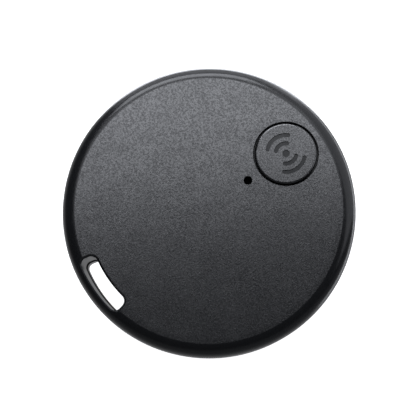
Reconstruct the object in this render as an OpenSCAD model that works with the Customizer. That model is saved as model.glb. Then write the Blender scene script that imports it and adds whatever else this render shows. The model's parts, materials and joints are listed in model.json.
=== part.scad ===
// Round bluetooth tracker tag with a push button, a sound hole and a lanyard slot.
// Frame: +Z out of the front face, origin at the centre of the rear face, +Y towards the lanyard slot.
// All lengths are in millimetres and all angles in degrees.

/* [Case] */
// Outer diameter of the case
case_d = 40; // [40:0.5:44]
// Thickness of the closed case
case_t = 7.5; // [7.5:0.1:8.5]
// Thickness of the front and side walls
wall = 1.2; // [1.1:0.05:1.25]
// Thickness of the rear wall
rear_wall = 1.1; // [1.1:0.05:1.2]
// Radius of the rounded front edge
front_edge_r = 1.9; // [1.5:0.1:2]
// Radius of the rounded rear edge
rear_edge_r = 1.4; // [1:0.1:1.6]
// Height of the seam between the two shells
seam_z = 2.4; // [2.3:0.05:2.5]
// Open gap at the seam
seam_gap = 0.12; // [0.08:0.02:0.16]

/* [Lanyard slot] */
// Radius of the slot's inner arc
slot_r_in = 16.45; // [16.2:0.05:16.6]
// Width of the slot
slot_w = 2.26; // [2:0.02:2.3]
// Angle from the middle of the slot to either end
slot_half_angle = 13.3; // [11:0.1:15]
// Corner radius of the slot's ends
slot_corner_r = 0.9; // [0.7:0.05:0.95]

/* [Button] */
// Radius of the button cap
button_r = 4.22; // [4:0.02:4.3]
// Gap between the button cap and its opening
button_gap = 0.19; // [0.15:0.01:0.22]
// Distance from the centre of the case to the centre of the button
button_y = 12.9; // [12.8:0.05:13]
// Height of the button cap above the front face
button_proud = 0.08; // [0:0.02:0.2]
// Travel of the button
button_travel = 0.2; // [0.15:0.01:0.25]
// Depth of the symbol pressed into the button cap
symbol_depth = 0.2; // [0.1:0.05:0.25]

/* [Sound hole] */
// Diameter of the sound hole
sound_hole_d = 1.2; // [1:0.05:1.3]
// Distance from the centre of the case to the sound hole
sound_hole_y = 6.57; // [6.2:0.01:6.6]

/* [Battery] */
// Diameter of the coin cell
battery_d = 20; // [20:0.1:20.2]
// Thickness of the coin cell
battery_t = 3.2; // [2.5:0.1:3.2]

/* [Circuit board] */
// Diameter of the circuit board
board_d = 35.8; // [35:0.1:36]
// Thickness of the circuit board
board_t = 0.6; // [0.5:0.05:0.65]

/* [Buzzer] */
// Diameter of the buzzer's brass plate
buzzer_d = 15; // [14.8:0.1:15]
// Diameter of the buzzer's ceramic disc
ceramic_d = 10; // [9:0.1:11]

/* [Hidden] */
$fn = 96;

// How far a cutting solid runs past the face it cuts
over = 0.5;
case_r = case_d / 2;
cavity_r = case_r - wall;

// Heights of the layers, from the rear face to the front face
front_in_z = case_t - wall;
recess_z = front_in_z + 0.4;
cover_top_z = seam_z - seam_gap / 2;
shell_rim_z = seam_z + seam_gap / 2;
battery_z = rear_wall + 0.05;
battery_top_z = battery_z + battery_t;
board_z = battery_top_z + 0.3;
board_top_z = board_z + board_t;

// Slot: the corner circles' centres lie slot_corner_r inside the slot's outline.
// end_x_in and end_x_out are their distances along the slot's end line.
slot_r_out = slot_r_in + slot_w;
corner_in_r = slot_r_in + slot_corner_r;
corner_out_r = slot_r_out - slot_corner_r;
corner_in_angle = asin(slot_corner_r / corner_in_r);
corner_out_angle = asin(slot_corner_r / corner_out_r);
end_x_in = sqrt(corner_in_r ^ 2 - slot_corner_r ^ 2);
end_x_out = sqrt(corner_out_r ^ 2 - slot_corner_r ^ 2);
slot_wall = 0.9;
// How far the slot's wall stands in from the front shell's in the rear cover
slot_step = 0.12;
slot_front_bevel = 0.3;
slot_rear_bevel = 0.45;
slot_seam_bevel = 0.3;
seam_bevel = 0.15;

// Spigot of the rear cover, which plugs into the front shell
spigot_r = cavity_r - 0.15;
spigot_wall = 0.8;
spigot_top_z = board_z - 0.65;
spigot_cut_angle = 19;
snap_z = spigot_top_z - 0.6;

// Button and switch
opening_r = button_r + button_gap;
flange_r = opening_r + 0.42;
flange_t = 0.3;
flange_top_z = recess_z - 0.05;
key_w = 1.2;
key_reach = 0.5;
switch_l = 4.2;
switch_w = 3.2;
switch_base_t = 0.5;
switch_cover_t = 0.1;
dome_r = 1.3;
dome_h = 0.33;
dome_t = 0.06;
dome_z = board_top_z + 0.1;
plunger_r = 0.8;
plunger_z = dome_z + dome_h + 0.02;
plunger_top_z = board_top_z + 0.82;
nub_gap = 0.03;
symbol_stroke = 0.56;

// Screws, their bosses and the battery holder
screw_places = [[0, 13.4], [12.87, -6], [-12.87, -6]];
screw_r = 0.7;
screw_head_r = 1.25;
screw_head_t = 0.7;
screw_clearance = 0.02;
boss_r = 1.6;
holder_r = battery_d / 2 + 0.25;
holder_wall = 0.9;
holder_flange_t = 0.8;
holder_z = rear_wall + 0.5;
contact_gap = 0.05;

// Buzzer, hung under the front wall
buzzer_y = -0.3;
seal_t = 0.3;
seal_w = 0.55;
plate_t = 0.18;
ceramic_t = 0.15;
electrode_t = 0.03;
plate_z = recess_z - seal_t - plate_t;
ceramic_z = plate_z - ceramic_t;
electrode_z = ceramic_z - electrode_t;

// Buzzer wires: solder joints on the buzzer and on the board, and the wires' routes between them
wire_r = 0.22;
wire_sides = 10;
joint_r = 0.6;
joint_h = 0.3;
red_start = [3, 1.2, electrode_z];
red_end = [10.3, 3.9, board_top_z];
black_start = [6.2, -0.8, plate_z];
black_end = [10.3, 1.7, board_top_z];
red_route = [
    red_start - [0, 0, 0.2], red_start + [1.2, 0.2, -0.3], [7, 3.2, board_top_z + 0.45],
    [9, 3.7, board_top_z + 0.3], red_end + [0, 0, 0.24],
];
black_route = [
    black_start - [0, 0, 0.2], black_start + [1.2, 0.3, -0.4], [8.9, 1.2, board_top_z + 0.35],
    black_end + [0, 0, 0.24],
];

// Chip components: [length, width, height], and [radius, angle, turn] of each one's place
small_chip = [1, 0.5];
large_chip = [3.2, 1.6];
small_capacitor_h = 0.5;
large_capacitor_h = 1.2;
resistor_h = 0.35;
chip_end = 0.22;
small_capacitor_places = [
    [13.3, 136, 0], [15, 136, 90], [16.7, 136, 0], [13.3, 163, 90], [17, 163, 90],
    [14.5, 12, 90], [14.5, 20, 90], [14.5, 28, 90], [14.9, -130, 90],
];
large_capacitor_places = [[14.8, 62, 90], [14.8, 43, 90]];
resistor_places = [
    [13.4, 181, 90], [14.7, 183, 90], [16, 184, 90],
    [13.6, -90, 90], [14.9, -90, 90], [16.2, -90, 90], [15.6, -3, 90],
];

// ---------------------------------------------------------------- shared shapes

module ring(r_out, r_in, h) {
    difference() {
        cylinder(r = r_out, h = h);
        translate([0, 0, -over]) cylinder(r = r_in, h = h + 2 * over);
    }
}

// Flat wedge about +Y that spans half_angle to either side
module wedge(half_angle) {
    reach = 2 * case_r;
    polygon([[0, 0], [reach * tan(half_angle), reach], [-reach * tan(half_angle), reach]]);
}

// Flat sector of a ring about +Y
module ring_sector(r_in, r_out, half_angle) {
    intersection() {
        difference() {
            circle(r_out);
            circle(r_in);
        }
        wedge(half_angle);
    }
}

// Puts its children at both ends of the slot, with x along the end line and y into the slot
module at_slot_ends() {
    for (side = [0, 1]) mirror([side, 0, 0]) rotate(90 - slot_half_angle) children();
}

// Outline of the lanyard slot, grown outwards by grow
module slot_outline(grow = 0) {
    ring_sector(slot_r_in - grow, slot_r_out + grow, slot_half_angle - corner_in_angle);
    ring_sector(corner_out_r, slot_r_out + grow, slot_half_angle - corner_out_angle);
    at_slot_ends() {
        translate([end_x_in, -grow]) square([end_x_out - end_x_in, slot_corner_r + grow]);
        for (x = [end_x_in, end_x_out]) translate([x, slot_corner_r]) circle(slot_corner_r + grow);
    }
}

// Cutting profile of a bevel: the edge is at the origin, with the solid at +x and -y
module bevel_profile(size) {
    polygon([[-0.2, -size - 0.2], [size + 0.2, 0.2], [-0.2, 0.2]]);
}

// Cuts a bevel all round the slot's upper edge at z = 0, for a slot grown outwards by grow
module slot_bevel(size, grow = 0) {
    out_angle = slot_half_angle - corner_out_angle;
    in_angle = slot_half_angle - corner_in_angle;
    rotate(90 - out_angle) rotate_extrude(angle = 2 * out_angle)
        translate([slot_r_out + grow, 0]) bevel_profile(size);
    rotate(90 - in_angle) rotate_extrude(angle = 2 * in_angle)
        translate([slot_r_in - grow, 0]) mirror([1, 0]) bevel_profile(size);
    at_slot_ends() {
        for (x = [end_x_in, end_x_out]) translate([x, slot_corner_r, 0])
            rotate_extrude() translate([slot_corner_r + grow, 0]) bevel_profile(size);
        translate([end_x_in, -grow, 0]) rotate([90, 0, 90])
            linear_extrude(end_x_out - end_x_in) mirror([1, 0]) bevel_profile(size);
    }
}

// Cuts the corners of a route of points once, keeping its two ends
function rounded(route) = concat(
    [route[0]],
    [for (i = [1 : len(route) - 1]) each [
        0.75 * route[i - 1] + 0.25 * route[i],
        0.25 * route[i - 1] + 0.75 * route[i],
    ]],
    [route[len(route) - 1]]
);

function unit(v) = v / norm(v);

// Corners of the ring of a wire's tube at point i of its route
function wire_ring(route, i, r) = let (
    along = unit(route[min(i + 1, len(route) - 1)] - route[max(i - 1, 0)]),
    side = unit(cross(along, [0, 0, 1])),
    up = cross(side, along)
) [for (k = [0 : wire_sides - 1]) let (turn = 360 * k / wire_sides)
    route[i] + r * cos(turn) * side + r * sin(turn) * up];

// Wire that follows a route of points, which must never run straight up or down
module wire(points, r) {
    route = rounded(rounded(points));
    last = len(route) - 1;
    n = wire_sides;
    polyhedron(
        points = [for (i = [0 : last]) each wire_ring(route, i, r)],
        faces = concat(
            [[for (k = [0 : n - 1]) k]],
            [for (i = [0 : last - 1], k = [0 : n - 1]) let (m = (k + 1) % n)
                [i * n + k, (i + 1) * n + k, (i + 1) * n + m, i * n + m]],
            [[for (k = [n - 1 : -1 : 0]) last * n + k]]
        )
    );
}

// Box of the given size centred on x = y = 0, standing on z = 0
module block(size) {
    translate([-size.x / 2, -size.y / 2, 0]) cube(size);
}

// Puts its children on the rear side of the board, upside down, at [radius, angle, turn]
module on_board_rear(place) {
    rotate(place[1]) translate([place[0], 0, board_z]) rotate(place[2]) mirror([0, 0, 1]) children();
}

// ---------------------------------------------------------------- case

// Half-profile of the front shell's outside
module front_profile() {
    corner_z = case_t - front_edge_r;
    corner_x = case_r - front_edge_r;
    translate([0, shell_rim_z]) square([corner_x, case_t - shell_rim_z]);
    translate([0, shell_rim_z]) square([case_r, corner_z - shell_rim_z]);
    translate([corner_x, corner_z]) intersection() {
        circle(front_edge_r);
        square(front_edge_r);
    }
}

// Half-profile of the rear cover's outside
module rear_profile() {
    corner_x = case_r - rear_edge_r;
    square([corner_x, cover_top_z]);
    translate([0, rear_edge_r]) square([case_r, cover_top_z - rear_edge_r]);
    translate([corner_x, rear_edge_r]) intersection() {
        circle(rear_edge_r);
        translate([0, -rear_edge_r]) square(rear_edge_r);
    }
}

// Pockets under the front wall for the buzzer and for the button's flange and key
module front_recesses() {
    h = recess_z - front_in_z;
    translate([0, buzzer_y, front_in_z - over]) cylinder(r = buzzer_d / 2 + 0.05, h = h + over);
    translate([0, -button_y, front_in_z - over]) {
        cylinder(r = flange_r + 0.4, h = h + over);
        translate([0, -flange_r - 0.2, 0]) block([key_w + 0.3, 2 * key_reach, h + over]);
    }
}

// Opening for the button, with a small bevel at the front face
module button_opening() {
    translate([0, -button_y, 0]) {
        translate([0, 0, front_in_z]) cylinder(r = opening_r, h = wall + over);
        translate([0, 0, case_t]) rotate_extrude() translate([opening_r, 0]) bevel_profile(0.06);
    }
}

// Ribs round the inside of the side wall that the circuit board rests on
module board_ribs() {
    rib_w = 1.4;
    rib_reach = cavity_r - board_d / 2 + 0.7;
    for (angle = [20, 60, 120, 160, 200, 340]) rotate(angle)
        translate([cavity_r + 0.2 - rib_reach, -rib_w / 2, board_top_z])
            cube([rib_reach, rib_w, front_in_z - board_top_z + 0.2]);
}

module front_shell() color("#2b2c2f") difference() {
    union() {
        difference() {
            rotate_extrude() front_profile();
            translate([0, 0, shell_rim_z - over]) cylinder(r = cavity_r, h = front_in_z - shell_rim_z + over);
            front_recesses();
            // Groove that the rear cover's snap beads click into
            translate([0, 0, snap_z - 0.25]) ring(cavity_r + 0.2, cavity_r - over, 0.5);
        }
        translate([0, 0, shell_rim_z]) linear_extrude(front_in_z - shell_rim_z + 0.2) intersection() {
            slot_outline(slot_wall);
            circle(cavity_r + 0.3);
        }
        for (place = screw_places) translate([place.x, place.y, board_top_z])
            cylinder(r = boss_r, h = front_in_z - board_top_z + 0.2);
        board_ribs();
    }
    button_opening();
    translate([0, -sound_hole_y, front_in_z]) cylinder(d = sound_hole_d, h = wall + over);
    linear_extrude(case_t + over) slot_outline();
    translate([0, 0, case_t]) slot_bevel(slot_front_bevel);
    translate([0, 0, shell_rim_z]) mirror([0, 0, 1]) slot_bevel(slot_seam_bevel);
    translate([0, 0, shell_rim_z]) mirror([0, 0, 1])
        rotate_extrude() translate([case_r, 0]) mirror([1, 0]) bevel_profile(seam_bevel);
    for (place = screw_places) translate([place.x, place.y, board_top_z - over])
        cylinder(r = screw_r + screw_clearance, h = front_in_z - board_top_z + over + 0.4);
}

// Ring that plugs into the front shell, with snap beads, left open round the slot
module spigot() {
    difference() {
        union() {
            translate([0, 0, rear_wall]) ring(spigot_r, spigot_r - spigot_wall, spigot_top_z - rear_wall);
            for (angle = [0 : 60 : 300]) rotate(angle) translate([0, 0, snap_z]) intersection() {
                ring(spigot_r + 0.1, spigot_r - 0.3, 0.3);
                block([9, 80, 0.3]);
            }
        }
        translate([0, 0, cover_top_z]) linear_extrude(spigot_top_z) wedge(spigot_cut_angle);
    }
}

// Stiffening ribs on the inside of the rear wall
module cover_ribs() {
    rib_in_r = holder_r + holder_wall + 1;
    for (angle = [-60 : 30 : 240]) if (angle != 90) rotate(angle)
        translate([rib_in_r, -0.35, rear_wall]) cube([spigot_r - spigot_wall - rib_in_r + 0.2, 0.7, 0.8]);
}

module rear_cover() color("#2b2c2f") difference() {
    union() {
        difference() {
            rotate_extrude() rear_profile();
            translate([0, 0, rear_wall]) cylinder(r = spigot_r - spigot_wall / 2, h = case_t);
        }
        spigot();
        cover_ribs();
        linear_extrude(cover_top_z) intersection() {
            slot_outline(slot_wall);
            circle(cavity_r);
        }
    }
    translate([0, 0, -over]) linear_extrude(case_t) slot_outline(-slot_step);
    mirror([0, 0, 1]) slot_bevel(slot_rear_bevel, -slot_step);
    translate([0, 0, cover_top_z]) slot_bevel(slot_seam_bevel, -slot_step);
    translate([0, 0, cover_top_z]) rotate_extrude() translate([case_r, 0]) mirror([1, 0]) bevel_profile(seam_bevel);
    // Seat of the foam pad
    translate([0, 0, rear_wall - 0.3]) cylinder(r = 6, h = 1);
    // Notch for a coin or a fingernail, to open the case
    translate([0, -case_r, cover_top_z - 0.7]) block([7, 1.6, 2]);
}

module battery_foam_pad() color("#4a4a4a") {
    translate([0, 0, rear_wall - 0.3]) cylinder(r = 5.9, h = 0.33);
}

// ---------------------------------------------------------------- button and switch

// Arc with round ends, about +X
module arc_stroke(r, half_angle) {
    rotate(-90) ring_sector(r - symbol_stroke / 2, r + symbol_stroke / 2, half_angle);
    for (angle = [-half_angle, half_angle]) rotate(angle) translate([r, 0]) circle(symbol_stroke / 2);
}

// Signal symbol: a dot between two pairs of arcs
module signal_symbol() {
    circle(0.5);
    for (side = [0, 180]) rotate(side) {
        arc_stroke(1.4, 42);
        arc_stroke(2.55, 42);
    }
}

module button_cap() color("#2e2f32") {
    top_z = case_t + button_proud;
    edge_r = 0.3;
    translate([0, -button_y, 0]) {
        difference() {
            rotate_extrude() {
                translate([0, flange_top_z - flange_t]) square([flange_r, flange_t]);
                translate([0, flange_top_z - flange_t]) square([button_r, top_z - edge_r - flange_top_z + flange_t]);
                translate([0, top_z - edge_r - over]) square([button_r - edge_r, edge_r + over]);
                translate([button_r - edge_r, top_z - edge_r]) intersection() {
                    circle(edge_r);
                    square(edge_r);
                }
            }
            translate([0, 0, top_z - symbol_depth]) linear_extrude(symbol_depth + over) signal_symbol();
            // Hollow underside
            translate([0, 0, flange_top_z - flange_t - over]) ring(button_r - 0.9, 1.5, flange_t + over + 0.2);
        }
        translate([0, 0, plunger_top_z + nub_gap])
            cylinder(r = 1, h = flange_top_z - flange_t + 0.1 - plunger_top_z - nub_gap);
        translate([0, -flange_r - key_reach / 2 + 0.1, flange_top_z - flange_t]) block([key_w, key_reach + 0.2, flange_t]);
    }
}

// Puts its children on the front side of the board under the button
module at_switch() {
    translate([0, -button_y, board_top_z]) children();
}

module switch_base() color("#d9d2bf") at_switch() difference() {
    block([switch_l, switch_w, switch_base_t]);
    translate([0, 0, dome_z - board_top_z]) cylinder(r = dome_r + 0.08, h = switch_base_t);
}

module switch_terminals() color("#cfcfcf") at_switch() {
    for (x = [-1, 1], y = [-1, 1]) translate([x * (switch_l / 2 + 0.25), y * (switch_w / 2 - 0.4), 0])
        block([0.5, 0.5, 0.15]);
}

// Thin shell whose outside is a cap of a sphere
module switch_dome() color("#d8d8d8") {
    ball_r = (dome_r ^ 2 + dome_h ^ 2) / (2 * dome_h);
    translate([0, -button_y, dome_z]) rotate_extrude() intersection() {
        translate([0, dome_h - ball_r]) difference() {
            circle(ball_r);
            circle(ball_r - dome_t);
        }
        square([dome_r, dome_h]);
    }
}

module switch_plunger() color("#f0ece0") {
    translate([0, -button_y, plunger_z]) cylinder(r = plunger_r, h = plunger_top_z - plunger_z);
}

module switch_cover() color("#c8cacc") at_switch() {
    difference() {
        translate([0, 0, switch_base_t]) block([switch_l, switch_w, switch_cover_t]);
        cylinder(r = plunger_r + 0.12, h = 1);
    }
    for (y = [-1, 1]) translate([0, y * (switch_w + switch_cover_t) / 2, 0.2])
        block([2.2, switch_cover_t, switch_base_t - 0.2 + switch_cover_t]);
}

// ---------------------------------------------------------------- circuit board and its components

module circuit_board() color("#1f5a3a") difference() {
    translate([0, 0, board_z]) cylinder(d = board_d, h = board_t);
    translate([0, 0, board_z - over]) linear_extrude(board_t + 2 * over) {
        slot_outline(slot_wall + 0.3);
        translate([-6.2, board_d / 2 - 1.1]) square([12.4, 2]);
    }
    for (place = screw_places) translate([place.x, place.y, board_z - over])
        cylinder(r = screw_r + 0.15, h = board_t + 2 * over);
}

module radio_chip() color("#232323") on_board_rear([14.9, 150, 0]) block([5, 5, 0.85]);

module radio_crystal() color("#c9c9c9") on_board_rear([14.6, 124, 0]) block([2.5, 3.2, 0.7]);

module clock_crystal() color("#c9c9c9") on_board_rear([15.2, 173, 0]) block([1.5, 3.2, 0.75]);

module chip_antenna() color("#e8e8e0") on_board_rear([16.4, 20, 0]) block([1.6, 3.2, 1.1]);

// Body of a chip component between its two metal ends
module chip_body(size, h) {
    block([size.x - 2 * chip_end, size.y - 0.04, h - 0.02]);
}

module chip_ends(size, h) {
    for (side = [-1, 1]) translate([side * (size.x - chip_end) / 2, 0, 0]) block([chip_end, size.y, h]);
}

module capacitors() color("#a8845c") {
    for (place = small_capacitor_places) on_board_rear(place) chip_body(small_chip, small_capacitor_h);
    for (place = large_capacitor_places) on_board_rear(place) chip_body(large_chip, large_capacitor_h);
}

module resistors() color("#1c1c1c") {
    for (place = resistor_places) on_board_rear(place) chip_body(small_chip, resistor_h);
}

module component_ends() color("#d0d0d0") {
    for (place = small_capacitor_places) on_board_rear(place) chip_ends(small_chip, small_capacitor_h);
    for (place = large_capacitor_places) on_board_rear(place) chip_ends(large_chip, large_capacitor_h);
    for (place = resistor_places) on_board_rear(place) chip_ends(small_chip, resistor_h);
}

module buzzer_inductor() color("#3a3a3c") on_board_rear([14.9, -112, 0]) difference() {
    block([4, 4, 1.4]);
    for (corner = [45 : 90 : 315]) rotate(corner) translate([3.1, 0, -over]) block([1.6, 4, 3]);
}

module drive_transistor() color("#202020") on_board_rear([14.8, -72, 0]) translate([0, 0, 0.08]) block([1.3, 2.9, 0.9]);

module transistor_leads() color("#d0d0d0") on_board_rear([14.8, -72, 0]) {
    for (lead = [[-1, -0.95], [-1, 0.95], [1, 0]]) translate([lead.x * 0.9, lead.y, 0]) {
        block([0.5, 0.4, 0.12]);
        translate([-lead.x * 0.19, 0, 0]) block([0.12, 0.4, 0.45]);
    }
}

// ---------------------------------------------------------------- buzzer

module buzzer_seal_ring() color("#303030") {
    translate([0, buzzer_y, recess_z - seal_t]) ring(buzzer_d / 2, buzzer_d / 2 - seal_w, seal_t);
}

module buzzer_plate() color("#c8a24a") {
    translate([0, buzzer_y, plate_z]) cylinder(d = buzzer_d, h = plate_t);
}

module buzzer_ceramic() color("#e6e2d6") {
    translate([0, buzzer_y, ceramic_z]) cylinder(d = ceramic_d, h = ceramic_t);
}

module buzzer_electrode() color("#c4c4c4") {
    translate([0, buzzer_y, electrode_z]) cylinder(d = ceramic_d - 0.8, h = electrode_t);
}

module buzzer_wire_red() color("#b3201c") wire(red_route, wire_r);

module buzzer_wire_black() color("#191919") wire(black_route, wire_r);

module wire_solder_joints() color("#c0c2c4") {
    for (place = [red_start, black_start]) translate(place) mirror([0, 0, 1])
        cylinder(r1 = joint_r, r2 = joint_r / 2, h = joint_h);
    for (place = [red_end, black_end]) translate(place) cylinder(r1 = joint_r, r2 = joint_r / 2, h = joint_h);
}

// ---------------------------------------------------------------- battery and its holder

module battery_holder() color("#1d1e20") difference() {
    union() {
        translate([0, 0, holder_z]) ring(holder_r + holder_wall, holder_r, board_z - holder_z);
        translate([0, 0, board_z - holder_flange_t]) difference() {
            union() {
                cylinder(r = holder_r + holder_wall + 0.95, h = holder_flange_t);
                for (place = screw_places) {
                    translate([place.x, place.y, 0]) cylinder(r = 1.8, h = holder_flange_t);
                    rotate(atan2(place.y, place.x)) translate([norm(place) / 2, 0, 0])
                        block([norm(place), 3.6, holder_flange_t]);
                }
            }
            translate([0, 0, -over]) cylinder(r = holder_r, h = holder_flange_t + 2 * over);
        }
    }
    // Window for the positive contact
    translate([holder_r, 0, holder_z - over]) block([7, 4.4, board_z]);
    // Notch that lets a fingertip lift the battery
    translate([-holder_r, 0, holder_z - over]) block([4, 9, 2 + over]);
    for (place = screw_places) translate([place.x, place.y, board_z - holder_flange_t - over])
        cylinder(r = screw_r + 0.1, h = holder_flange_t + 2 * over);
}

// Pan-head screw, head down, with a cross recess
module screw() {
    shank = front_in_z + 0.3 - board_z + holder_flange_t;
    difference() {
        translate([0, 0, -screw_head_t]) cylinder(r = screw_head_r, h = screw_head_t);
        for (turn = [0, 90]) rotate(turn) translate([0, 0, -screw_head_t - over])
            block([1.4, 0.34, over + 0.4]);
    }
    cylinder(r = screw_r, h = shank);
}

module holder_screws() color("#9a9c9e") {
    for (place = screw_places) translate([place.x, place.y, board_z - holder_flange_t]) screw();
}

// Bent strip that presses on the side of the coin cell
module positive_contact() color("#d9b45a") {
    face_x = battery_d / 2 + contact_gap;
    strip_t = 0.15;
    translate([0, 1.8, 0]) rotate([90, 0, 0]) linear_extrude(3.6) polygon([
        [face_x + 3.2, board_z], [face_x + 3.2, board_z - strip_t], [face_x + 0.75, board_z - strip_t],
        [face_x + 0.75, battery_z + 2.6], [face_x + strip_t, battery_z + 1.9], [face_x + 0.7, battery_z + 1],
        [face_x + 0.55, battery_z + 1], [face_x, battery_z + 1.9], [face_x + 0.6, battery_z + 2.6],
        [face_x + 0.6, board_z],
    ]);
}

// Flat ring on the board with three fingers that press on the battery cap
module negative_contact() color("#d9b45a") {
    strip_t = 0.12;
    tip_z = battery_top_z + 0.02;
    translate([0, 0, board_z - strip_t]) ring(3.4, 2, strip_t);
    for (angle = [90, 210, 330]) rotate(angle) translate([0, 0.7, 0]) rotate([90, 0, 0]) linear_extrude(1.4)
        polygon([
            [3.2, board_z], [3.2, board_z - strip_t], [7, tip_z], [7.8, tip_z],
            [7.8, tip_z + strip_t], [7, tip_z + strip_t], [4, board_z],
        ]);
}

// Half-profile of the coin cell's cup, with its edge rolled in over the gasket
module can_profile() difference() {
    r = battery_d / 2;
    edge = 0.4;
    rim_z = battery_t - 0.5;
    union() {
        square([r - edge, rim_z]);
        translate([0, edge]) square([r, rim_z - 2 * edge]);
        for (z = [edge, rim_z - edge]) translate([r - edge, z]) circle(edge);
    }
    translate([0, 0.25]) square([r - 0.25, rim_z - 0.5]);
    translate([0, 0.25]) square([r - 0.75, battery_t]);
}

// The positive pole, with a plus sign pressed into its face
module battery_can() color("#c9cbce") translate([0, 0, battery_z]) difference() {
    rotate_extrude() can_profile();
    for (size = [[3.4, 0.55, 0.16], [0.55, 3.4, 0.16]]) translate([0, 0, -0.1]) block(size);
}

// Plastic ring between the can and the lid
module battery_gasket() color("#1a1a1a") translate([0, 0, battery_z]) rotate_extrude() {
    r = battery_d / 2;
    shoulder_z = battery_t - 1;
    translate([r - 0.5, 0.25]) square([0.25, shoulder_z]);
    translate([r - 0.95, shoulder_z]) square([0.7, 0.25]);
    translate([r - 0.95, shoulder_z]) square([0.2, 0.6]);
}

// Lid of the coin cell: the negative pole
module battery_cap() color("#b9bbbe") translate([0, 0, battery_z]) rotate_extrude() difference() {
    r = battery_d / 2 - 0.95;
    edge = 0.45;
    union() {
        translate([0, 1]) square([r, battery_t - 1 - edge]);
        translate([0, 1]) square([r - edge, battery_t - 1]);
        translate([r - edge, battery_t - edge]) circle(edge);
    }
    square([r - 0.25, battery_t - 0.25 - edge]);
    square([r - edge - 0.1, battery_t - 0.25]);
}

module battery_cathode() color("#2a2a2a") {
    translate([0, 0, battery_z + 0.25]) cylinder(r = battery_d / 2 - 1.3, h = 1.7);
}

module battery_anode() color("#b0b2b4") {
    translate([0, 0, battery_z + 2]) cylinder(r = battery_d / 2 - 1.9, h = battery_t - 2.25);
}

front_shell();
rear_cover();
button_cap();
switch_base();
switch_terminals();
switch_dome();
switch_plunger();
switch_cover();
circuit_board();
radio_chip();
radio_crystal();
clock_crystal();
chip_antenna();
capacitors();
resistors();
component_ends();
buzzer_inductor();
drive_transistor();
transistor_leads();
buzzer_seal_ring();
buzzer_plate();
buzzer_ceramic();
buzzer_electrode();
buzzer_wire_red();
buzzer_wire_black();
wire_solder_joints();
battery_holder();
holder_screws();
positive_contact();
negative_contact();
battery_can();
battery_gasket();
battery_cap();
battery_cathode();
battery_anode();
battery_foam_pad();
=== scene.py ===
# Looks of a round bluetooth tracker tag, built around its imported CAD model.
# Lengths are in millimetres and angles in degrees, and go to Blender in metres and radians.
import json
import math

import bmesh
import bpy
from mathutils import Matrix, Vector


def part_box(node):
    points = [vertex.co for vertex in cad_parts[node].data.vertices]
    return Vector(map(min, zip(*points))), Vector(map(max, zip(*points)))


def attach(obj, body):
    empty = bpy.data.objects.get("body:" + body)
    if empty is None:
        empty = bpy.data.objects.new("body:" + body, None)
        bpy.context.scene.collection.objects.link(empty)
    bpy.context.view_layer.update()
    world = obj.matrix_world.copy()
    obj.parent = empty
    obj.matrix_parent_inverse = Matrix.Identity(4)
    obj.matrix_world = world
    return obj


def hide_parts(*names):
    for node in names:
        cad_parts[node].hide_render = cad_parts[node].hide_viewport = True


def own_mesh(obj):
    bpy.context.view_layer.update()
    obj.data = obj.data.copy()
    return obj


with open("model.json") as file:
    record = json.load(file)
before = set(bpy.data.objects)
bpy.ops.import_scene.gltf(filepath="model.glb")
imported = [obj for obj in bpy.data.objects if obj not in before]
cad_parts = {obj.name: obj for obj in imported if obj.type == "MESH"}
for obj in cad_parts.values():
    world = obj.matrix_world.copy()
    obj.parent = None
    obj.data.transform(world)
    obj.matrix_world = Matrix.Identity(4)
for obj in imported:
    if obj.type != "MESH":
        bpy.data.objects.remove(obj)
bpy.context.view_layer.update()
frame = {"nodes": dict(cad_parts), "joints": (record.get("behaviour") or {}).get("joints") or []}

MM = 0.001
NODES = frame["nodes"]


def box_mm(node):
    """Lowest and highest corner of a CAD node, in millimetres."""
    low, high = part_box(node)
    return low / MM, high / MM


# ---------------------------------------------------------------- sizes read from the frame

FACE_Z = box_mm("front_shell")[1].z
REAR_Z = box_mm("rear_cover")[0].z
CASE_R = box_mm("front_shell")[1].x
BUTTON_TOP_Z = box_mm("button_cap")[1].z
BOARD_REAR_Z = box_mm("circuit_board")[0].z
BOARD_R = box_mm("circuit_board")[1].x
COVER_TRAVEL = max(abs(x) for x in frame["joints"][0]["range_m"]) / MM


# ---------------------------------------------------------------- materials

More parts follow.
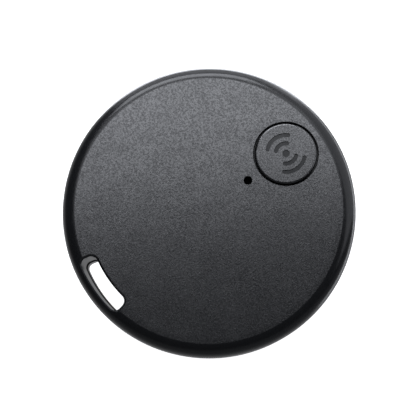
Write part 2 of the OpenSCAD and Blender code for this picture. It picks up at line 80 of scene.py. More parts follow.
class Look:
    """One node material. Its patterns are solid ones, placed by the row's frame in millimetres."""

    def __init__(self, name, metallic=0.0, **sockets):
        self.material = bpy.data.materials.new(name)
        self.material.use_nodes = True
        self.tree = self.material.node_tree
        self.shader = self.tree.nodes["Principled BSDF"]
        self.shader.inputs["Metallic"].default_value = metallic
        for socket, value in sockets.items():
            self.shader.inputs[socket.replace("_", " ")].default_value = value
        self.place = self.node("ShaderNodeVectorMath", operation="SCALE")
        self.place.inputs["Scale"].default_value = 1 / MM
        coordinates = self.node("ShaderNodeTexCoord")
        self.link(coordinates.outputs["Object"], self.place.inputs[0])
        self.place = self.place.outputs[0]
        apart = self.node("ShaderNodeSeparateXYZ")
        self.link(self.place, apart.inputs[0])
        self.x, self.y, self.z = apart.outputs
        self.normal = None

    def node(self, kind, **settings):
        made = self.tree.nodes.new(kind)
        for name, value in settings.items():
            setattr(made, name, value)
        return made

    def link(self, value, socket):
        """Feeds a socket from another one, or sets it to a plain value."""
        if isinstance(value, bpy.types.NodeSocket):
            self.tree.links.new(value, socket)
        elif isinstance(value, tuple) and len(value) == 3 and socket.type == "RGBA":
            socket.default_value = (*value, 1)
        else:
            socket.default_value = value

    def maths(self, operation, *values):
        made = self.node("ShaderNodeMath", operation=operation)
        for value, socket in zip(values, made.inputs):
            self.link(value, socket)
        return made.outputs[0]

    def radius(self):
        """Distance from the case's own axis."""
        return self.maths("SQRT", self.maths(
            "ADD", self.maths("POWER", self.x, 2.0), self.maths("POWER", self.y, 2.0)))

    def stretched(self, factors):
        made = self.node("ShaderNodeVectorMath", operation="MULTIPLY")
        self.link(self.place, made.inputs[0])
        made.inputs[1].default_value = factors
        return made.outputs[0]

    def turned(self):
        """Coordinates that change fast along the radius and slowly round the axis, as lathe marks do."""
        made = self.node("ShaderNodeCombineXYZ")
        self.link(self.maths("MULTIPLY", self.radius(), 6.0), made.inputs[0])
        self.link(self.maths("MULTIPLY", self.maths("ARCTAN2", self.y, self.x), 1.5), made.inputs[1])
        self.link(self.z, made.inputs[2])
        return made.outputs[0]

    def noise(self, size, detail=2.0, place=None):
        """Noise with blobs of the given size, from 0 to 1."""
        made = self.node("ShaderNodeTexNoise")
        self.link(place or self.place, made.inputs["Vector"])
        made.inputs["Scale"].default_value = 1 / size
        made.inputs["Detail"].default_value = detail
        return made.outputs["Fac"]

    def ramp(self, value, low, high, to_low=0.0, to_high=1.0):
        """Smooth step from to_low, where value is low, to to_high, where it is high."""
        made = self.node("ShaderNodeMapRange", interpolation_type="SMOOTHSTEP")
        for socket, number in zip(made.inputs, (value, low, high, to_low, to_high)):
            self.link(number, socket)
        return made.outputs[0]

    def mix(self, factor, a, b):
        """Colour between a and b."""
        made = self.node("ShaderNodeMix", data_type="RGBA")
        self.link(factor, made.inputs["Factor"])
        self.link(a, made.inputs[6])
        self.link(b, made.inputs[7])
        return made.outputs[2]

    def between(self, factor, a, b):
        """Number between a and b."""
        made = self.node("ShaderNodeMix", data_type="FLOAT")
        self.link(factor, made.inputs["Factor"])
        self.link(a, made.inputs[2])
        self.link(b, made.inputs[3])
        return made.outputs[0]

    def edges(self, width):
        """Mask that is 1 on sharp outer and inner edges, for wear and, on the case, for a painted
        highlight.
        """
        bevel = self.node("ShaderNodeBevel", samples=4)
        bevel.inputs["Radius"].default_value = width * MM
        geometry = self.node("ShaderNodeNewGeometry")
        dot = self.node("ShaderNodeVectorMath", operation="DOT_PRODUCT")
        self.link(bevel.outputs[0], dot.inputs[0])
        self.link(geometry.outputs["Normal"], dot.inputs[1])
        return self.ramp(dot.outputs["Value"], 0.995, 0.9)

    def bump(self, height, depth, strength=1.0):
        """Adds relief of the given depth. Strength may be a mask."""
        made = self.node("ShaderNodeBump")
        made.inputs["Distance"].default_value = depth * MM
        self.link(strength, made.inputs["Strength"])
        self.link(height, made.inputs["Height"])
        if self.normal is not None:
            self.link(self.normal, made.inputs["Normal"])
        self.normal = made.outputs[0]

    def done(self, colour, roughness):
        self.link(colour, self.shader.inputs["Base Color"])
        self.link(roughness, self.shader.inputs["Roughness"])
        if self.normal is not None:
            self.link(self.normal, self.shader.inputs["Normal"])
        return self.material


# Black moulded plastic: spark-eroded on the flat faces, plain elsewhere
CASE_BLACK = (0.0062, 0.0066, 0.0076)
CASE_PIT = (0.014, 0.0145, 0.016)
# Lighter colour on the case's edges: partly wear, partly a painted highlight along the edges.
CASE_WEAR_AND_HIGHLIGHT = (0.02, 0.0205, 0.022)
FACE_ROUGHNESS = 0.27
RIM_ROUGHNESS = 0.22
INSIDE_ROUGHNESS = 0.34
# Size and depth of the texture's pits
PIT_SIZE = 0.22
PIT_DEPTH = 0.026
# The texture's sheen: a coat that comes and goes in specks and, more faintly, in clouds
FACE_COAT_IOR = 2.15
FACE_COAT_ROUGHNESS = 0.23
GLINT_SIZE = 0.2
GLINT_LOW = 0.34
GLINT_HIGH = 0.88
CLOUD_SIZE = 3.5
CLOUD_LOW = 0.86
# The texture ends short of the case's edge, further in on the front face than on the rear one
FRONT_TEXTURE_END_R = CASE_R - 1.8
REAR_TEXTURE_END_R = CASE_R - 1.3
TEXTURE_FADE = 0.2
# Parts of the case within this radius and this far from both faces count as inside
INSIDE_R = CASE_R - 1.2
INSIDE_DEPTH = 0.3
# The flat faces look as if they sink a little towards their rims, as moulded ones do
ROLL_START_R = CASE_R - 2.7
ROLL_END_R = CASE_R - 1.4
ROLL_DEPTH = 0.05
# Slow unevenness of the whole surface
WAVE_SIZE = 2.4
WAVE_DEPTH = 0.006


def spark_texture(look, mask):
    """Fine random pits, as spark erosion leaves in a mould. Returns the pits' heights."""
    pits = look.noise(PIT_SIZE, 1.5)
    look.bump(pits, PIT_DEPTH, mask)
    return pits


def moulded(name, mask_of):
    """Moulded black plastic with its texture where mask_of(look) is 1."""
    look = Look(name, Coat_Roughness=FACE_COAT_ROUGHNESS, Coat_IOR=FACE_COAT_IOR)
    mask = mask_of(look)
    pits = spark_texture(look, mask)
    glints = look.ramp(look.noise(GLINT_SIZE, 1.0), 0.35, 0.65, GLINT_LOW, GLINT_HIGH)
    clouds = look.ramp(look.noise(CLOUD_SIZE, 2.0), 0.35, 0.65, CLOUD_LOW, 1.0)
    coat = look.maths("MULTIPLY", look.maths("MULTIPLY", mask, glints), clouds)
    look.link(coat, look.shader.inputs["Coat Weight"])
    look.bump(look.noise(WAVE_SIZE, 3.0), WAVE_DEPTH)
    look.bump(look.ramp(look.radius(), ROLL_START_R, ROLL_END_R), -ROLL_DEPTH)
    handling = look.noise(6.0, 3.0)
    # Edges lighter in patches: partly wear, partly a painted highlight.
    wear_and_highlight = look.maths("MULTIPLY", look.edges(0.12), look.noise(0.7))
    colour = look.mix(handling, CASE_BLACK, tuple(1.25 * c for c in CASE_BLACK))
    colour = look.mix(look.maths("MULTIPLY", mask, look.ramp(pits, 0.35, 0.75)), colour, CASE_PIT)
    colour = look.mix(wear_and_highlight, colour, CASE_WEAR_AND_HIGHLIGHT)
    smooth = look.ramp(look.noise(1.1, 3.0), 0.3, 0.7, RIM_ROUGHNESS - 0.02, RIM_ROUGHNESS + 0.03)
    rough = look.ramp(handling, 0.3, 0.7, FACE_ROUGHNESS - 0.03, FACE_ROUGHNESS + 0.03)
    rough = look.maths("ADD", rough, look.ramp(pits, 0.35, 0.65, 0.1, -0.1))
    plain = look.between(inside_mask(look), smooth, INSIDE_ROUGHNESS)
    return look.done(colour, look.between(mask, plain, rough))


def inside_mask(look):
    """1 on the slot's walls and on the shells' insides, away from the faces that a hand polishes."""
    front, rear = FACE_Z - INSIDE_DEPTH, REAR_Z + INSIDE_DEPTH
    under_front = look.ramp(look.z, front - 0.02, front + 0.02, 1.0, 0.0)
    over_rear = look.ramp(look.z, rear - 0.02, rear + 0.02)
    within = look.ramp(look.radius(), INSIDE_R - 0.05, INSIDE_R, 1.0, 0.0)
    return look.maths("MULTIPLY", within, look.maths("MULTIPLY", under_front, over_rear))


def case_mask(look):
    """1 on the flat parts of the front and rear faces."""
    front = look.maths("GREATER_THAN", look.z, FACE_Z - 0.03)
    rear = look.maths("LESS_THAN", look.z, REAR_Z + 0.03)
    radius = look.radius()
    front = look.maths("MULTIPLY", front, look.ramp(
        radius, FRONT_TEXTURE_END_R, FRONT_TEXTURE_END_R - TEXTURE_FADE))
    rear = look.maths("MULTIPLY", rear, look.ramp(
        radius, REAR_TEXTURE_END_R, REAR_TEXTURE_END_R - TEXTURE_FADE))
    return look.maths("MAXIMUM", front, rear)


def button_mask(look):
    """1 on the button's top, and 0 in its symbol and on its sides."""
    return look.ramp(look.z, BUTTON_TOP_Z - 0.1, BUTTON_TOP_Z - 0.03)


def surface(name, colour, second, roughness, grain, depth, metallic=0.0, patch=1.5, wear=None,
            place_of=None, **sockets):
    """Material of a small part, of two colours in patches, with a grain and, if asked, wear on its
    edges.

    roughness is a pair, its least and its most. grain, depth and patch are in millimetres.
    """
    look = Look(name, metallic, **sockets)
    place = place_of(look) if place_of else look.place
    fine = look.noise(grain, 3.0, place)
    patches = look.noise(patch, 3.0)
    shade = look.mix(look.ramp(patches, 0.3, 0.7), colour, second)
    shade = look.mix(look.ramp(fine, 0.45, 0.8, 0.0, 0.5), shade, second)
    if wear:
        shade = look.mix(look.maths("MULTIPLY", look.edges(0.1), 0.7), shade, wear)
    look.bump(fine, depth)
    rough = look.ramp(look.maths("ADD", fine, patches), 0.7, 1.3, *roughness)
    return look.done(shade, rough)


def brushed(factors):
    return lambda look: look.stretched(factors)


MATERIALS = {
    "case_plastic": moulded("case_plastic", case_mask),
    "button_plastic": moulded("button_plastic", button_mask),
    "holder_plastic": surface(
        "holder_plastic", (0.014, 0.014, 0.015), (0.024, 0.024, 0.026), (0.34, 0.5), 0.12, 0.006,
        wear=(0.05, 0.05, 0.052)),
    "switch_plastic": surface(
        "switch_plastic", (0.55, 0.48, 0.34), (0.62, 0.56, 0.42), (0.38, 0.5), 0.1, 0.004),
    "switch_plunger": surface(
        "switch_plunger", (0.78, 0.75, 0.66), (0.84, 0.82, 0.75), (0.3, 0.42), 0.1, 0.003,
        Subsurface_Weight=0.1),
    "switch_steel": surface(
        "switch_steel", (0.56, 0.57, 0.58), (0.7, 0.71, 0.72), (0.24, 0.4), 0.25, 0.002, 1.0,
        place_of=brushed((0.3, 6, 6))),
    "spring_steel": surface(
        "spring_steel", (0.6, 0.6, 0.6), (0.74, 0.74, 0.73), (0.16, 0.28), 0.3, 0.001, 1.0,
        place_of=brushed((0.3, 5, 5))),
    "solder_tin": surface(
        "solder_tin", (0.62, 0.63, 0.64), (0.78, 0.78, 0.79), (0.2, 0.42), 0.09, 0.006, 1.0, 0.5),
    "chip_epoxy": surface(
        "chip_epoxy", (0.018, 0.018, 0.019), (0.03, 0.03, 0.031), (0.5, 0.66), 0.06, 0.008,
        wear=(0.06, 0.06, 0.06)),
    "crystal_lid": surface(
        "crystal_lid", (0.66, 0.65, 0.62), (0.8, 0.79, 0.76), (0.22, 0.36), 0.3, 0.002, 1.0,
        place_of=brushed((6, 0.4, 6)), wear=(0.9, 0.89, 0.86)),
    "antenna_ceramic": surface(
        "antenna_ceramic", (0.72, 0.74, 0.72), (0.8, 0.81, 0.79), (0.3, 0.42), 0.08, 0.003),
    "capacitor_ceramic": surface(
        "capacitor_ceramic", (0.36, 0.22, 0.12), (0.44, 0.29, 0.17), (0.36, 0.5), 0.07, 0.004,
        patch=0.6),
    "resistor_glaze": surface(
        "resistor_glaze", (0.012, 0.012, 0.014), (0.03, 0.03, 0.034), (0.16, 0.3), 0.08, 0.002,
        patch=0.6),
    "ferrite": surface(
        "ferrite", (0.035, 0.034, 0.033), (0.06, 0.058, 0.055), (0.5, 0.68), 0.09, 0.012),
    "foam": surface(
        "foam", (0.02, 0.02, 0.021), (0.045, 0.045, 0.047), (0.86, 0.97), 0.12, 0.05, patch=0.4),
    "buzzer_ceramic": surface(
        "buzzer_ceramic", (0.68, 0.64, 0.53), (0.76, 0.73, 0.63), (0.5, 0.64), 0.08, 0.004),
    "buzzer_silver": surface(
        "buzzer_silver", (0.72, 0.71, 0.68), (0.84, 0.83, 0.8), (0.36, 0.55), 0.08, 0.004, 1.0),
    "wire_red": surface(
        "wire_red", (0.5, 0.018, 0.014), (0.58, 0.03, 0.022), (0.3, 0.42), 0.15, 0.003),
    "wire_black": surface(
        "wire_black", (0.012, 0.012, 0.012), (0.02, 0.02, 0.02), (0.3, 0.42), 0.15, 0.003),
    "screw_steel": surface(
        "screw_steel", (0.5, 0.5, 0.5), (0.66, 0.66, 0.65), (0.24, 0.4), 0.16, 0.003, 1.0, 0.8),
    "contact_bronze": surface(
        "contact_bronze", (0.72, 0.5, 0.2), (0.84, 0.64, 0.32), (0.18, 0.34), 0.25, 0.002, 1.0,
        place_of=brushed((0.4, 4, 4))),
    "battery_steel": surface(
        "battery_steel", (0.58, 0.58, 0.57), (0.72, 0.72, 0.71), (0.2, 0.36), 0.5, 0.003, 1.0, 4.0,
        place_of=Look.turned),
    "battery_seal": surface(
        "battery_seal", (0.06, 0.062, 0.065), (0.085, 0.088, 0.09), (0.35, 0.5), 0.1, 0.003),
    "cathode": surface(
        "cathode", (0.012, 0.012, 0.012), (0.024, 0.024, 0.024), (0.8, 0.95), 0.06, 0.02),
    "anode": surface(
        "anode", (0.5, 0.5, 0.51), (0.64, 0.64, 0.65), (0.4, 0.6), 0.15, 0.01, 1.0),
    "pad_gold": surface(
        "pad_gold", (0.78, 0.55, 0.22), (0.88, 0.68, 0.34), (0.2, 0.36), 0.07, 0.003, 1.0, 0.6),
    "silkscreen": surface(
        "silkscreen", (0.7, 0.71, 0.68), (0.8, 0.81, 0.78), (0.5, 0.65), 0.05, 0.004, patch=0.5),
}


def board_material():
    """Green solder mask over woven glass, with darker and lighter copper areas under it."""
    look = Look("board", Coat_Weight=0.35, Coat_Roughness=0.18)
    weave = [look.maths("SINE", look.maths("MULTIPLY", axis, 12.0)) for axis in (look.x, look.y)]
    weave = look.maths("MULTIPLY", *weave)
    copper = look.ramp(look.noise(2.6, 1.0), 0.5, 0.53)
    base = look.mix(copper, (0.006, 0.05, 0.022), (0.012, 0.085, 0.038))
    base = look.mix(look.ramp(weave, 0.2, 1.0, 0.0, 0.25), base, (0.02, 0.11, 0.055))
    rim = look.ramp(look.radius(), BOARD_R - 0.12, BOARD_R - 0.05)
    base = look.mix(rim, base, (0.22, 0.2, 0.1))
    look.bump(weave, 0.004)
    look.bump(copper, 0.012)
    rough = look.ramp(look.noise(0.5, 3.0), 0.3, 0.7, 0.3, 0.44)
    return look.done(base, rough)


def buzzer_brass():
    """Brushed brass. Its front side is coloured near black as painted shade, so that the sound hole
    looks black.
    """
    look = Look("buzzer_brass", 1.0)
    lines = look.noise(0.3, 3.0, look.stretched((0.3, 5, 5)))
    patches = look.noise(2.0, 3.0)
    front = look.maths("GREATER_THAN", look.z, box_mm("buzzer_plate")[1].z - 0.01)
    shade = look.mix(patches, (0.68, 0.46, 0.16), (0.78, 0.57, 0.26))
    # Painted shade: the plate's front side is near black, so that the sound hole looks dark.
    shade = look.mix(front, shade, (0.008, 0.008, 0.008))
    look.bump(lines, 0.002)
    rough = look.between(front, look.ramp(lines, 0.3, 0.7, 0.2, 0.38), 0.8)
    return look.done(shade, rough)


MATERIALS["board"] = board_material()
MATERIALS["buzzer_brass"] = buzzer_brass()
# Copper track under the mask: the same green, lighter over the copper
MATERIALS["board_track"] = surface(
    "board_track", (0.014, 0.1, 0.046), (0.02, 0.13, 0.06), (0.28, 0.4), 0.2, 0.002,
    Coat_Weight=0.35, Coat_Roughness=0.18)


def dress_nodes():
    """Gives each CAD node the material of its own slot."""
    for node, piece in NODES.items():
        slots = [m.name.split(".")[0] for m in piece.data.materials]
        piece.data.materials.clear()
        for slot in slots:
            piece.data.materials.append(MATERIALS[slot])


# ---------------------------------------------------------------- mesh helpers

class Builder:
    """Collects solids, given in millimetres in the row's frame, into one piece."""

    def __init__(self):
        self.mesh = bmesh.new()

    def face(self, corners):
        self.mesh.faces.new(corners)

    def loft(self, loops):
        """Solid between closed loops of as many points each, capped at both ends."""
        rows = [[self.mesh.verts.new(Vector(point) * MM) for point in loop] for loop in loops]
        count = len(rows[0])
        self.face(rows[0][::-1])
        self.face(rows[-1])
        for low, high in zip(rows, rows[1:]):
            for i in range(count):
                j = (i + 1) % count
                self.face([low[i], low[j], high[j], high[i]])

    def prism(self, outline, low, high, shrink=0.0):
        """Flat solid from z = low to z = high. Its rim is bevelled by shrink at both faces."""
        middle = Vector((sum(p[0] for p in outline), sum(p[1] for p in outline))) / len(outline)

        def loop(z, inset):
            points = []
            for point in outline:
                out = Vector(point[:2]) - middle
                points.append((*(middle + out * (1 - inset / max(out.length, inset))), z))
            return points

        step = min(shrink, (high - low) / 2)
        self.loft([loop(low, shrink), loop(low + step, 0), loop(high - step, 0), loop(high, shrink)]
                  if shrink else [loop(low, 0), loop(high, 0)])

    def disc(self, centre, r, low, high, shrink=0.0, count=32):
        turns = [math.tau * i / count for i in range(count)]
        self.prism([(centre[0] + r * math.cos(t), centre[1] + r * math.sin(t)) for t in turns],
                   low, high, shrink)

    def lathe(self, centre, profile, count=64):
        """Turns a closed profile of (radius, z) about the vertical through centre."""
        rows = []
        for i in range(count):
            turn = math.tau * i / count
            rows.append([self.mesh.verts.new(Vector((
                centre[0] + r * math.cos(turn), centre[1] + r * math.sin(turn), z)) * MM)
                for r, z in profile])
        for i in range(count):
            here, there = rows[i], rows[(i + 1) % count]
            for j in range(len(profile)):
                k = (j + 1) % len(profile)
                self.face([here[j], there[j], there[k], here[k]])

    def track(self, route, width, low, high):
        """Flat strip that follows a route of points."""
        sides = ([], [])
        for i, point in enumerate(route):
            before = route[max(i - 1, 0)]
            after = route[min(i + 1, len(route) - 1)]
            along = (after - before).normalized()
            across = Vector((-along.y, along.x)) * width / 2
            sides[0].append(point + across)
            sides[1].append(point - across)
        rows = []
        for left, right in zip(*sides):
            corners = ((left, low), (left, high), (right, low), (right, high))
            a, b, c, d = (self.mesh.verts.new((p.x * MM, p.y * MM, z * MM)) for p, z in corners)
            rows.append([a, b, d, c])
        self.face(rows[0])
        self.face(rows[-1][::-1])
        for here, there in zip(rows, rows[1:]):
            for i in range(4):
                j = (i + 1) % 4
                self.face([here[j], here[i], there[i], there[j]])

    def piece(self, name, material, body, slot, smooth=False):
        """Finishes the piece and lets it ride on a body."""
        bmesh.ops.recalc_face_normals(self.mesh, faces=self.mesh.faces)
        data = bpy.data.meshes.new(name)
        self.mesh.to_mesh(data)
        self.mesh.free()
        data.materials.append(MATERIALS[material])
        if smooth:
            data.polygons.foreach_set("use_smooth", [True] * len(data.polygons))
        made = bpy.data.objects.new(name, data)
        bpy.context.scene.collection.objects.link(made)
        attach(made, body)
        return made


def polar(r, angle):
    return Vector((r * math.cos(math.radians(angle)), r * math.sin(math.radians(angle))))


def islands(node):
    """The separate solids of a CAD node, in a fixed order, each as a list of its vertices in mm."""
    mesh = bmesh.new()
    mesh.from_mesh(NODES[node].data)
    bmesh.ops.remove_doubles(mesh, verts=mesh.verts, dist=0.001 * MM)
    left = set(mesh.verts)
    found = []
    while left:
        group = []
        queue = [left.pop()]
        while queue:
            vertex = queue.pop()
            group.append(vertex.co / MM)
            near = {edge.other_vert(vertex) for edge in vertex.link_edges} & left
            left -= near
            queue += near
        found.append(group)
    mesh.free()

    def first_corner(group):
        return tuple(round(x, 3) for x in min(group, key=lambda v: tuple(v)))

    return sorted(found, key=first_corner)


class Part:
    """Place and half sizes of a board component, along and across the radius from the board's centre."""

    def __init__(self, points):
        self.centre = Vector(((min(p.x for p in points) + max(p.x for p in points)) / 2,
                              (min(p.y for p in points) + max(p.y for p in points)) / 2))
        self.out = self.centre.normalized()
        self.side = Vector((-self.out.y, self.out.x))
        self.half = [max(abs((p.xy - self.centre).dot(axis)) for p in points)
                     for axis in (self.out, self.side)]

    def corners(self, grow=0.0):
        a, b = (self.out * (self.half[0] + grow), self.side * (self.half[1] + grow))
        return [self.centre + a + b, self.centre - a + b, self.centre - a - b, self.centre + a - b]


# ---------------------------------------------------------------- details on the board's rear side

TRACK_H = 0.018
TRACK_W = 0.22
VIA_H = 0.022
TEST_PAD_H = 0.03
TEST_PAD_R = 0.5
PRINT_H = 0.014
PRINT_W = 0.12
# How far the printed corner marks stand off a component, and how long their legs are at most
PRINT_GAP = 0.42
PRINT_LEG = 0.9
# Places and corners on the board: distance from its centre and angle
TEST_PAD_PLACES = [(14.1, -47), (15.5, -47), (16.9, -47), (14.1, -54), (16.9, -54),
                   (13.6, 228), (15.2, 228), (16.8, 228), (17.0, 66)]
VIA_PLACES = [(17.3, 162), (12.6, 138), (12.6, 160), (17.2, 190), (12.7, 190), (17.2, 220), (17.2, 237),
              (12.8, 242), (12.7, 262), (17.1, 262), (17.2, 284), (12.8, 296), (17.2, 300),
              (12.7, 40), (17.1, 34), (12.8, 66), (13.0, 5), (17.3, 112), (16.9, 118)]
TRACK_ROUTES = [
    [(17.3, 162), (17.3, 168), (17.2, 190)],
    [(13.2, 160), (12.6, 160), (12.55, 172), (12.7, 190)],
    [(14.6, 130), (14.6, 133), (14.4, 142)],
    [(15.4, 130), (15.6, 134), (15.6, 141)],
    [(12.6, 138), (13.2, 142)],
    [(16.2, 159), (16.2, 165), (15.6, 168)],
    [(14.4, 159), (14.6, 164), (14.8, 168)],
    [(17.2, 220), (17.2, 228), (17.2, 237)],
    [(13.6, 228), (13.0, 236), (12.8, 242)],
    [(15.2, 228), (15.2, 238), (14.9, 243)],
    [(12.7, 262), (13.2, 266), (13.6, 268)],
    [(17.1, 262), (16.6, 266), (16.2, 268)],
    [(14.9, 272), (15.0, 278), (15.4, 284)],
    [(17.2, 284), (17.2, 292), (17.2, 300)],
    [(12.8, 296), (13.2, 302), (14.1, 306)],
    [(15.5, 313), (15.5, 322), (16.9, 329)],
    [(16.9, 313), (17.2, 320), (17.2, 340), (16.4, 354)],
    [(14.5, 30.5), (14.6, 34), (14.8, 37)],
    [(14.5, 14.5), (14.5, 17.5)],
    [(14.5, 22.5), (14.5, 25.5)],
    [(12.7, 40), (12.7, 52), (12.8, 66)],
    [(14.8, 49), (14.8, 56)],
    [(17.0, 66), (16.2, 66), (15.4, 68)],
    [(17.1, 34), (17.1, 44), (17.1, 54)],
]
# Components with printed corner marks round them. A capacitor has them if it is taller than TALL.
MARKED_NODES = ("radio_chip", "radio_crystal", "clock_crystal", "buzzer_inductor", "drive_transistor",
                "chip_antenna")
TALL = 1
# Printed dot beside the radio chip's first pin
FIRST_PIN_R = 0.16
FIRST_PIN_GAP = 0.75


def height_of(points):
    return max(p.z for p in points) - min(p.z for p in points)


def arc_route(corners):
    """Points along arcs and spirals between polar corners."""
    route = []
    for (r0, a0), (r1, a1) in zip(corners, corners[1:]):
        steps = max(2, round(abs(a1 - a0) / 2))
        route += [polar(r0 + (r1 - r0) * i / steps, a0 + (a1 - a0) * i / steps) for i in range(steps)]
    return route + [polar(*corners[-1])]


def board_details():
    tracks = Builder()
    for corners in TRACK_ROUTES:
        tracks.track(arc_route(corners), TRACK_W, BOARD_REAR_Z - TRACK_H, BOARD_REAR_Z)
    tracks.piece("board_tracks", "board_track", "case", "board")

    vias = Builder()
    for r, angle in VIA_PLACES:
        low, high = BOARD_REAR_Z - VIA_H, BOARD_REAR_Z
        vias.lathe(polar(r, angle), [(0.14, high), (0.16, low), (0.27, low), (0.29, high)], 20)
    vias.piece("board_vias", "pad_gold", "case", "board")

    pads = Builder()
    for r, angle in TEST_PAD_PLACES:
        pads.disc(polar(r, angle), TEST_PAD_R, BOARD_REAR_Z - TEST_PAD_H, BOARD_REAR_Z, 0.01)
    pads.piece("board_test_pads", "pad_gold", "case", "board")

    marks = Builder()
    marked = [islands(node)[0] for node in MARKED_NODES]
    marked += [group for group in islands("capacitors") if height_of(group) > TALL]
    for group in marked:
        corners = Part(group).corners(PRINT_GAP)
        for start, end in zip(corners, corners[1:] + corners[:1]):
            leg = (end - start).normalized() * min(PRINT_LEG, (end - start).length / 4)
            for route in ([start, start + leg], [end - leg, end]):
                marks.track(route, PRINT_W, BOARD_REAR_Z - PRINT_H, BOARD_REAR_Z)
    first_pin = Part(marked[0]).corners(FIRST_PIN_GAP)[1]
    marks.disc(first_pin, FIRST_PIN_R, BOARD_REAR_Z - PRINT_H, BOARD_REAR_Z)
    marks.piece("board_print", "silkscreen", "case", "board")


# Solder lands of the radio chip. Their half sizes are across and along the chip's side.
LANDS_A_SIDE = 8
LAND_PITCH = 0.5
LAND_HALF_SIZES = (0.14, 0.12)
LAND_H = 0.24
LAND_EDGE = 0.03
# Distance of the raised ring on the radio chip from two of its sides
CHIP_MARK_INSET = 0.7


def chip_details():
    """Solder lands along the sides of the radio chip, and the raised ring that marks its first pin."""
    chip = Part(islands("radio_chip")[0])
    lands = Builder()
    for axis, across, half in ((chip.out, chip.side, chip.half[0]), (chip.side, chip.out, chip.half[1])):
        for way in (-1, 1):
            for i in range(LANDS_A_SIDE):
                place = (i - (LANDS_A_SIDE - 1) / 2) * LAND_PITCH
                middle = chip.centre + axis * way * half + across * place
                corners = [middle + axis * a * LAND_HALF_SIZES[0] + across * b * LAND_HALF_SIZES[1]
                           for a, b in ((1, 1), (-1, 1), (-1, -1), (1, -1))]
                lands.prism([tuple(c) for c in corners], BOARD_REAR_Z - LAND_H, BOARD_REAR_Z, LAND_EDGE)
    lands.piece("radio_chip_lands", "solder_tin", "case", "solder_tin")

    mark = Builder()
    low = box_mm("radio_chip")[0].z
    place = (chip.centre - chip.out * (chip.half[0] - CHIP_MARK_INSET)
             + chip.side * (chip.half[1] - CHIP_MARK_INSET))
    mark.lathe(place, [(0.3, low), (0.3, low - 0.012), (0.38, low - 0.012), (0.4, low)], 28)
    mark.piece("radio_chip_mark", "chip_epoxy", "case", "chip_epoxy")


# Sloping solder from the board up: share of its height, reach past the metal end, spread beside it
FILLET_STEPS = ((0, 0.3, 0.06), (0.3, 0.13, 0.035), (1, 0.012, 0.012))
FILLET_MOST_H = 0.3


def solder_fillets():
    """Solder at the outer face of each chip component's metal ends."""
    fillets = Builder()
    bodies = [Part(group) for node in ("capacitors", "resistors") for group in islands(node)]
    for group in islands("component_ends"):
        end = Part(group)
        body = min(bodies, key=lambda b: (b.centre - end.centre).length)
        out = (end.centre - body.centre).normalized()
        side = Vector((-out.y, out.x))
        half_w = max(abs((p.xy - end.centre).dot(side)) for p in group)
        half_l = max(abs((p.xy - end.centre).dot(out)) for p in group)
        height = min(FILLET_MOST_H, 0.6 * height_of(group))
        loops = []
        for share, reach, spread in FILLET_STEPS:
            corners = ((half_l + reach, half_w + spread), (-half_l, half_w + spread),
                       (-half_l, -half_w - spread), (half_l + reach, -half_w - spread))
            z = BOARD_REAR_Z - share * height
            loops.append([(*(end.centre + out * a + side * b), z) for a, b in corners])
        fillets.loft(loops)
    fillets.piece("component_solder", "solder_tin", "case", "solder_tin")


# ---------------------------------------------------------------- inside of the rear cover

# Foam pad from its glued side up: share of its radius, share of its thickness
FOAM_PROFILE = ((0.98, 0.0), (0.995, 0.2), (1.0, 0.45), (0.99, 0.7), (0.96, 0.88), (0.88, 0.96),
               (0.7, 0.99), (0.35, 1.0))
FOAM_POINTS = 96
# Shallow dents round the cut edge
FOAM_DENTS = 7
FOAM_DENT = 0.004


def foam_pad():
    """Die-cut disc of foam, crowned where it isn't glued and with a soft edge."""
    low, high = box_mm("battery_foam_pad")
    loops = []
    for share, height in FOAM_PROFILE:
        loop = []
        for i in range(FOAM_POINTS):
            turn = math.tau * i / FOAM_POINTS
            dent = FOAM_DENT * min(math.sin(FOAM_DENTS * turn), 0.0) * (share > 0.9)
            r = high.x * share * (1 + dent)
            loop.append((r * math.cos(turn), r * math.sin(turn), low.z + (high.z - low.z) * height))
        loops.append(loop)
    pad = Builder()
    pad.loft(loops)
    made = pad.piece("foam_pad", "foam", "rear_cover", "foam", smooth=True)
    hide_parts("battery_foam_pad")


# Depth of the foam pad's seat in the rear cover's floor
SEAT_DEPTH = 0.3
EJECTOR_ANGLES = (-45, 15, 45, 135, 165, 225)
EJECTOR_PLACE_R = 15.2
EJECTOR_RING = ((0.85, 0.0), (0.88, 0.025), (0.97, 0.025), (1.0, 0.0))


def ejector_marks():
    """Shallow rings that the mould's ejector pins leave on the rear cover's inside."""
    floor_z = box_mm("battery_foam_pad")[0].z + SEAT_DEPTH
    marks = Builder()
    for angle in EJECTOR_ANGLES:
        ring = [(r, floor_z + height) for r, height in EJECTOR_RING]
        marks.lathe(polar(EJECTOR_PLACE_R, angle), ring, 40)
    marks.piece("cover_ejector_marks", "case_plastic", "rear_cover", "case_plastic")


# ---------------------------------------------------------------- dome under the button

def snap_dome():
    """Twin of the switch's dome, on a mesh of its own, riding on the case."""
    made = bpy.data.objects.new("snap_dome", NODES["switch_dome"].data.copy())
    bpy.context.scene.collection.objects.link(made)
    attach(made, "case")
    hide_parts("switch_dome")
    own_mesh(made)


# ---------------------------------------------------------------- camera, lights and floor

# The camera looks down on the front face. In its picture x runs right, y up and z towards the camera.
# The case is turned by SLOT_TURN about its axis, and the axis leans by LEAN towards LEAN_TOWARDS.
CAMERA_DISTANCE = 138.54
PICTURE_WIDTH = 57.56
SLOT_TURN = 125.4
LEAN = 8.97
LEAN_TOWARDS = 100.8
PICTURE_OFFSET = (0.145, -0.611)
SENSOR = 36.0

lean_axis = Vector((-math.sin(math.radians(LEAN_TOWARDS)), math.cos(math.radians(LEAN_TOWARDS)), 0))
TO_PICTURE = (Matrix.Rotation(math.radians(LEAN), 4, lean_axis)
              @ Matrix.Rotation(math.radians(SLOT_TURN), 4, "Z"))
TO_ROW = Matrix.Translation((0, 0, FACE_Z / 2 * MM)) @ TO_PICTURE.inverted()


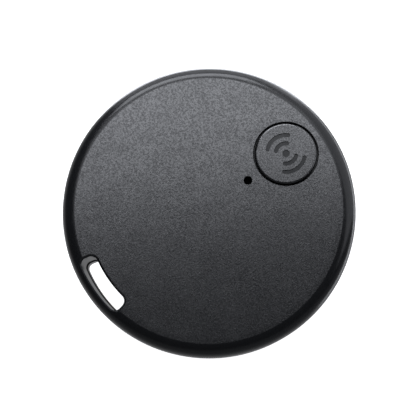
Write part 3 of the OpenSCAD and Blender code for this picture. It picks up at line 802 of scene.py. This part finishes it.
def add_camera():
    data = bpy.data.cameras.new("camera")
    data.sensor_width = SENSOR
    data.lens = SENSOR * CAMERA_DISTANCE / PICTURE_WIDTH
    data.clip_start = 0.01
    data.clip_end = 10
    camera = bpy.data.objects.new("camera", data)
    bpy.context.scene.collection.objects.link(camera)
    x, y = PICTURE_OFFSET
    camera.matrix_world = TO_ROW @ Matrix.Translation(Vector((-x, -y, CAMERA_DISTANCE)) * MM)
    bpy.context.scene.camera = camera


SOFTBOX_TONE = (0.91, 0.935, 1.0)
# Name, off_axis and towards, wide and high, radiance, distance in millimetres: see softbox
SOFTBOXES = [
    ("key_softbox", 61.5, 100, 42, 22, 6.2, 160),
    ("upper_panel", 31, 97, 48, 22, 1.95, 400),
    ("top_panel", 93, 92, 70, 30, 1.5, 400),
    ("right_softbox", 68, 36, 66, 62, 0.9, 400),
    ("lower_panel", 72, -80, 130, 50, 0.13, 400),
    ("right_card", 116, 15, 100, 14, 2.6, 400),
    ("rear_softbox", 136, 90, 60, 32, 4.0, 400),
]


def softbox(name, off_axis, towards, wide, high, radiance, distance):
    """Area light aimed at the tag, off_axis from the picture's z axis towards an angle in the picture.

    wide and high are the angles it fills, seen from the tag, across and along off_axis.
    """
    a, t = math.radians(off_axis), math.radians(towards)
    way = Vector((math.sin(a) * math.cos(t), math.sin(a) * math.sin(t), math.cos(a)))
    data = bpy.data.lights.new(name, "AREA")
    data.shape = "RECTANGLE"
    data.size, data.size_y = (
        2 * distance * MM * math.tan(math.radians(angle) / 2) for angle in (wide, high))
    data.energy = radiance * math.pi * data.size * data.size_y
    data.color = SOFTBOX_TONE
    light = bpy.data.objects.new(name, data)
    bpy.context.scene.collection.objects.link(light)
    across = Vector((-math.sin(t), math.cos(t), 0))
    turn = Matrix((across, way.cross(across), way)).transposed().to_4x4()
    light.matrix_world = TO_ROW @ Matrix.Translation(way * distance * MM) @ turn
    light.visible_camera = False


def add_lights():
    for row in SOFTBOXES:
        softbox(*row)


# Colours of the surroundings: above and below the horizon as the tag sees them, and as the camera does
DARK = (0.05, 0.051, 0.054)
GLOW = (0.62, 0.625, 0.64)
WHITE = (1.0, 1.0, 1.0)
# Height of the line of sight, from 1 straight up to -1 straight down, where the glow starts and is full
GLOW_START = 0.1
GLOW_FULL = -0.7


def add_world():
    """White all round for the camera. The tag sees the dark above it and the glow below."""
    world = bpy.data.worlds.new("world")
    world.use_nodes = True
    bpy.context.scene.world = world
    tree = world.node_tree
    way = tree.nodes.new("ShaderNodeNewGeometry")
    apart = tree.nodes.new("ShaderNodeSeparateXYZ")
    step = tree.nodes.new("ShaderNodeMapRange")
    step.interpolation_type = "SMOOTHSTEP"
    step.inputs["From Min"].default_value = GLOW_START
    step.inputs["From Max"].default_value = GLOW_FULL
    path = tree.nodes.new("ShaderNodeLightPath")
    for_tag = tree.nodes.new("ShaderNodeMix")
    for_tag.data_type = "RGBA"
    for_tag.inputs[6].default_value = (*DARK, 1)
    for_tag.inputs[7].default_value = (*GLOW, 1)
    for_all = tree.nodes.new("ShaderNodeMix")
    for_all.data_type = "RGBA"
    for_all.inputs[7].default_value = (*WHITE, 1)
    tree.links.new(way.outputs["Position"], apart.inputs[0])
    tree.links.new(apart.outputs[2], step.inputs["Value"])
    tree.links.new(step.outputs[0], for_tag.inputs["Factor"])
    tree.links.new(for_tag.outputs[2], for_all.inputs[6])
    tree.links.new(path.outputs["Is Camera Ray"], for_all.inputs["Factor"])
    tree.links.new(for_all.outputs[2], tree.nodes["Background"].inputs["Color"])


FLOOR_GLOW = 0.94
FLOOR_HALF = 1500
# Clear space between the floor and the rear cover when it is taken off
FLOOR_GAP = 1.5


def floor_material():
    """Pale floor that glows, so that it is white where the tag's slot shows it. Clear from below."""
    material = bpy.data.materials.new("floor")
    material.use_nodes = True
    tree = material.node_tree
    shader = tree.nodes["Principled BSDF"]
    shader.inputs["Base Color"].default_value = (0.8, 0.8, 0.8, 1)
    shader.inputs["Roughness"].default_value = 0.9
    shader.inputs["Emission Color"].default_value = (1, 1, 1, 1)
    shader.inputs["Emission Strength"].default_value = FLOOR_GLOW
    clear = tree.nodes.new("ShaderNodeBsdfTransparent")
    geometry = tree.nodes.new("ShaderNodeNewGeometry")
    mix = tree.nodes.new("ShaderNodeMixShader")
    tree.links.new(geometry.outputs["Backfacing"], mix.inputs[0])
    tree.links.new(shader.outputs[0], mix.inputs[1])
    tree.links.new(clear.outputs[0], mix.inputs[2])
    tree.links.new(mix.outputs[0], tree.nodes["Material Output"].inputs["Surface"])
    return material


def add_floor():
    """Lies just under the place that the rear cover reaches when it is taken off."""
    z = REAR_Z - COVER_TRAVEL - FLOOR_GAP
    data = bpy.data.meshes.new("floor")
    corners = [(x * FLOOR_HALF * MM, y * FLOOR_HALF * MM, z * MM)
               for x, y in ((-1, -1), (1, -1), (1, 1), (-1, 1))]
    data.from_pydata(corners, [], [(0, 1, 2, 3)])
    data.materials.append(floor_material())
    floor = bpy.data.objects.new("floor", data)
    bpy.context.scene.collection.objects.link(floor)
    floor.visible_glossy = False
    floor.visible_shadow = False


add_camera()
add_lights()
add_world()
add_floor()
dress_nodes()
board_details()
chip_details()
solder_fillets()
foam_pad()
ejector_marks()
snap_dome()
bpy.context.scene.view_settings.view_transform = "Standard"
